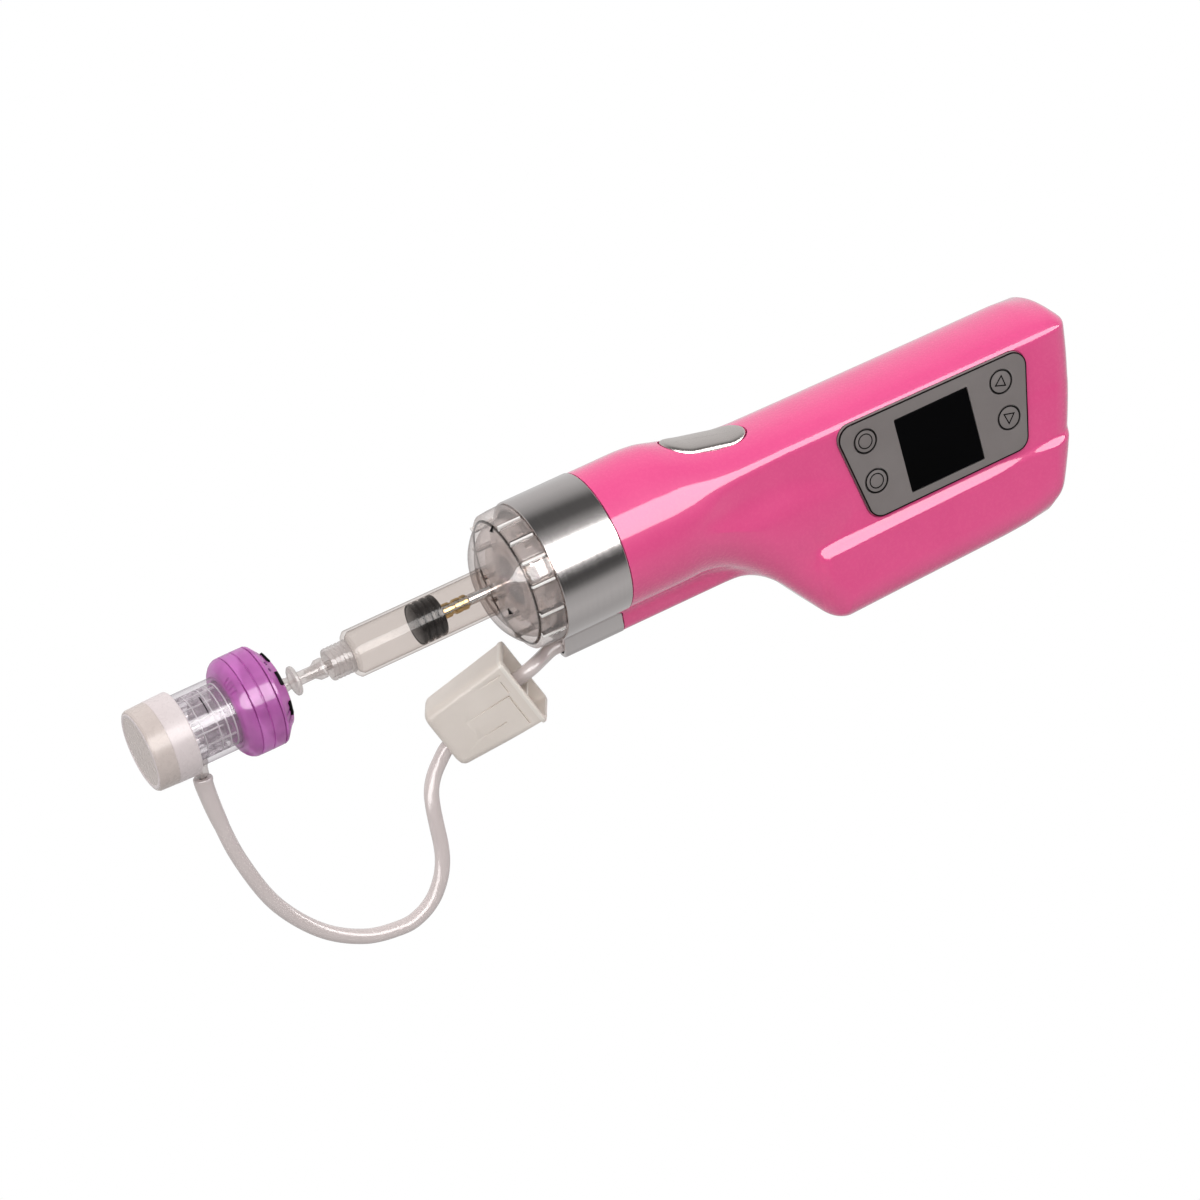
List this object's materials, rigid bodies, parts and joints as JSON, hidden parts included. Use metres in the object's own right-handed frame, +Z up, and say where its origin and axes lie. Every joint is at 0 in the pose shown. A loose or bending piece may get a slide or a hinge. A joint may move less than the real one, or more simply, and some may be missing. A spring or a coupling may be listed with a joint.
{
  "type": "handheld syringe injector",
  "caption": "Pistol-shaped motor-driven handheld syringe pump: pink grip with keypad and display, metal collar, clear nose cap, syringe, purple needle head and vacuum filter line.",
  "frame": {"origin": "middle of the flat underside of the grip", "axes": "+X along the syringe axis from the needles towards the rear of the grip, +Z up, keypad on the -Y side"},
  "size_m": [0.2983, 0.0428, 0.1082],
  "materials": {
    "pink_gloss": "high-gloss pink moulded plastic",
    "satin_steel": "satin turned metal",
    "smoky_clear": "smoke-tinted clear moulded plastic",
    "clear_plastic": "clear moulded plastic",
    "cap_plastic": "milky beige-grey moulded plastic",
    "purple_clear": "translucent purple moulded plastic",
    "black_rubber": "black plunger rubber",
    "brass": "machined brass",
    "chrome": "bright plated steel",
    "panel_grey": "satin grey keypad plate",
    "screen_black": "black display glass",
    "tube_silicone": "soft translucent tube",
    "beige_plastic": "milky beige moulded plastic",
    "zinc_steel": "zinc-plated steel",
    "white_nylon": "white gear nylon",
    "black_plastic": "black moulded plastic",
    "board_green": "green circuit board",
    "battery_wrap": "blue heat-shrink wrap"
  },
  "bodies": {
    "housing": {"battery_cell": "battery_wrap", "body_shell_left": "pink_gloss", "body_shell_right": "pink_gloss", "case_screw_1": "zinc_steel", "case_screw_2": "zinc_steel", "case_screw_3": "zinc_steel", "case_screw_4": "zinc_steel", "charge_socket": "zinc_steel", "collar_ring": "satin_steel", "control_panel": "panel_grey", "display_module": "board_green", "display_window": "screen_black", "drive_frame": "zinc_steel", "drive_motor": "zinc_steel", "filter_case": "beige_plastic", "filter_core": "beige_plastic", "front_bushing": "brass", "guide_rod": "chrome", "hub_front": "purple_clear", "hub_rear": "purple_clear", "inner_hose": "tube_silicone", "luer_inlet": "clear_plastic", "main_pcb": "board_green", "needle_cup": "clear_plastic", "pump_head": "black_plastic", "pump_motor": "zinc_steel", "rear_bearing": "zinc_steel", "syringe_barrel": "clear_plastic", "syringe_seat": "chrome", "travel_sensor": "black_plastic", "trigger_spring": "zinc_steel", "trigger_switch": "black_plastic", "tube_port_channel": "satin_steel", "vacuum_nipple": "zinc_steel", "vacuum_tube_lower": "tube_silicone", "vacuum_tube_upper": "tube_silicone"},
    "pusher": {"plunger_stopper": "black_rubber", "rod_tip": "brass", "push_rod": "chrome", "carriage": "black_plastic", "drive_nut": "brass"},
    "screw": {"lead_screw": "zinc_steel", "screw_gear": "white_nylon"},
    "pinion": {"motor_pinion": "brass"},
    "bayonet_cap": {"nose_cap": "smoky_clear"},
    "trigger": {"trigger_button": "satin_steel"},
    "power_key": {"key_power": "panel_grey"},
    "mode_key": {"key_mode": "panel_grey"},
    "up_key": {"key_up": "panel_grey"},
    "down_key": {"key_down": "panel_grey"},
    "depth_dial": {"depth_ring": "purple_clear"},
    "needle_set": {"needle_carrier": "clear_plastic", "needle_1": "chrome", "needle_2": "chrome", "needle_3": "chrome", "needle_4": "chrome", "needle_5": "chrome"},
    "guard": {"tip_cap": "cap_plastic"},
    "pump_rotor": {"pump_eccentric": "brass"}
  },
  "joints": [
    {"name": "leadscrew_spin", "type": "hinge", "parent": "housing", "child": "screw", "pos_m": [-0.075, 0, 0.03856], "axis": [1, 0, 0], "range_deg": [-2160, 1680]},
    {"name": "pusher_slide", "type": "slide", "parent": "housing", "child": "pusher", "axis": [1, 0, 0], "range_m": [-0.018, 0.014]},
    {"name": "pinion_spin", "type": "hinge", "parent": "housing", "child": "pinion", "pos_m": [-0.047, 0, 0.02596], "axis": [1, 0, 0], "range_deg": [-4200, 5400]},
    {"name": "nose_cap_turn", "type": "hinge", "parent": "housing", "child": "bayonet_cap", "pos_m": [-0.125, 0, 0.04956], "axis": [1, 0, 0], "range_deg": [0, 40]},
    {"name": "trigger_press", "type": "slide", "parent": "housing", "child": "trigger", "axis": [-0.2504, 0, -0.9681], "range_m": [0, 0.0012], "deforming": ["trigger_spring"]},
    {"name": "key_power_press", "type": "slide", "parent": "housing", "child": "power_key", "axis": [0, 1, 0], "range_m": [0, 0.0004]},
    {"name": "key_mode_press", "type": "slide", "parent": "housing", "child": "mode_key", "axis": [0, 1, 0], "range_m": [0, 0.0004]},
    {"name": "key_up_press", "type": "slide", "parent": "housing", "child": "up_key", "axis": [0, 1, 0], "range_m": [0, 0.0004]},
    {"name": "key_down_press", "type": "slide", "parent": "housing", "child": "down_key", "axis": [0, 1, 0], "range_m": [0, 0.0004]},
    {"name": "depth_ring_turn", "type": "hinge", "parent": "housing", "child": "depth_dial", "pos_m": [-0.2146, 0, 0.04956], "axis": [1, 0, 0], "range_deg": [0, 150]},
    {"name": "needle_depth", "type": "slide", "parent": "housing", "child": "needle_set", "axis": [-1, 0, 0], "range_m": [0, 0.0012]},
    {"name": "tip_cap_pull", "type": "slide", "parent": "housing", "child": "guard", "axis": [-1, 0, 0], "range_m": [0, 0.03]},
    {"name": "pump_spin", "type": "hinge", "parent": "housing", "child": "pump_rotor", "pos_m": [0.025, 0, 0.02906], "axis": [1, 0, 0], "continuous": true}
  ],
  "couplings": [
    {"joint": "leadscrew_spin", "follows": "pusher_slide", "rad_per_m": 2094.4},
    {"joint": "pinion_spin", "follows": "pusher_slide", "rad_per_m": -5236},
    {"joint": "depth_ring_turn", "follows": "needle_depth", "rad_per_m": 2181.7}
  ]
}
